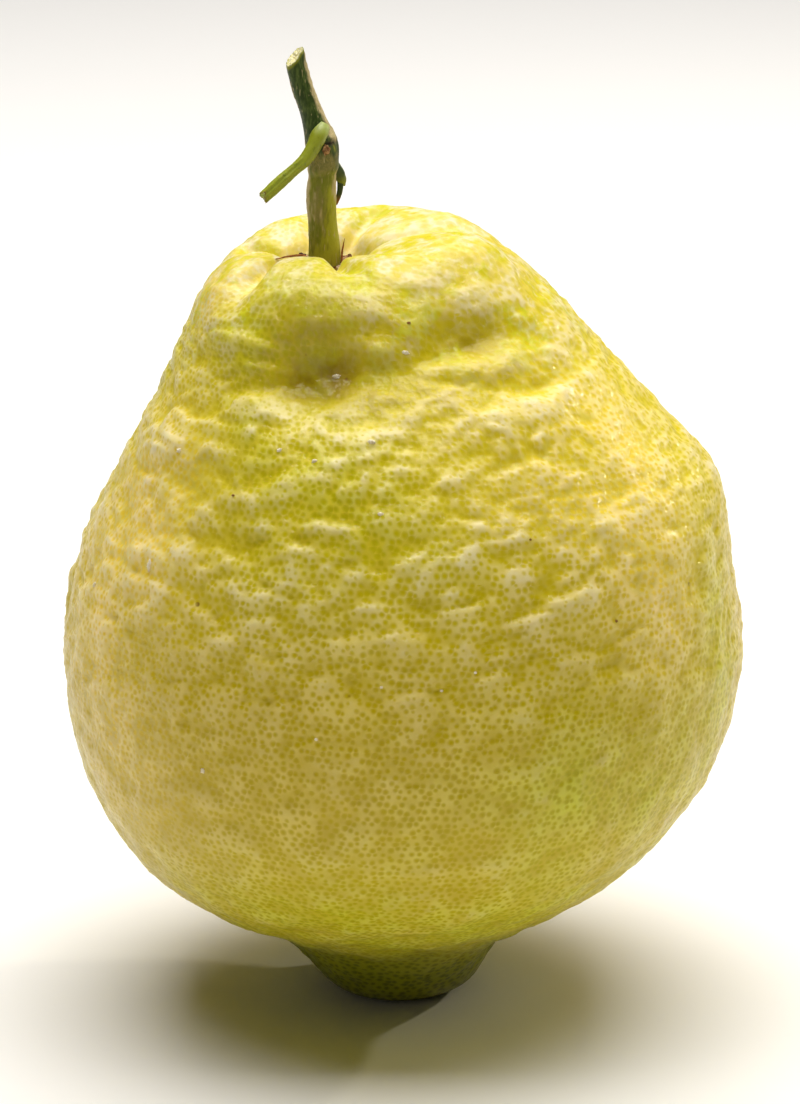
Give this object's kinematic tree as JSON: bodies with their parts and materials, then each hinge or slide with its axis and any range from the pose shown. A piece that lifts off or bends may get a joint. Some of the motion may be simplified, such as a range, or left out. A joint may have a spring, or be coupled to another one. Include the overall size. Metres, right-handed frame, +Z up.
{
  "type": "citron",
  "caption": "Whole citron standing on its nipple: bumpy yellow-green rind, furrowed shoulder, dry calyx and a short kinked woody twig.",
  "frame": {"origin": "middle of the small flat spot on the nipple, on which the fruit rests", "axes": "+Z up from the resting spot to the stem end; -Y is the side that the picture shows; +X is to its right"},
  "size_m": [0.1097, 0.1073, 0.1568],
  "materials": {
    "peel": "waxy yellow-green citrus rind with oil glands",
    "calyx": "dry brown and matte",
    "twig": "green bark with tan corky streaks, satin"
  },
  "bodies": {
    "root": {"fruit": "peel", "calyx": "calyx", "stem": "twig"}
  },
  "joints": []
}
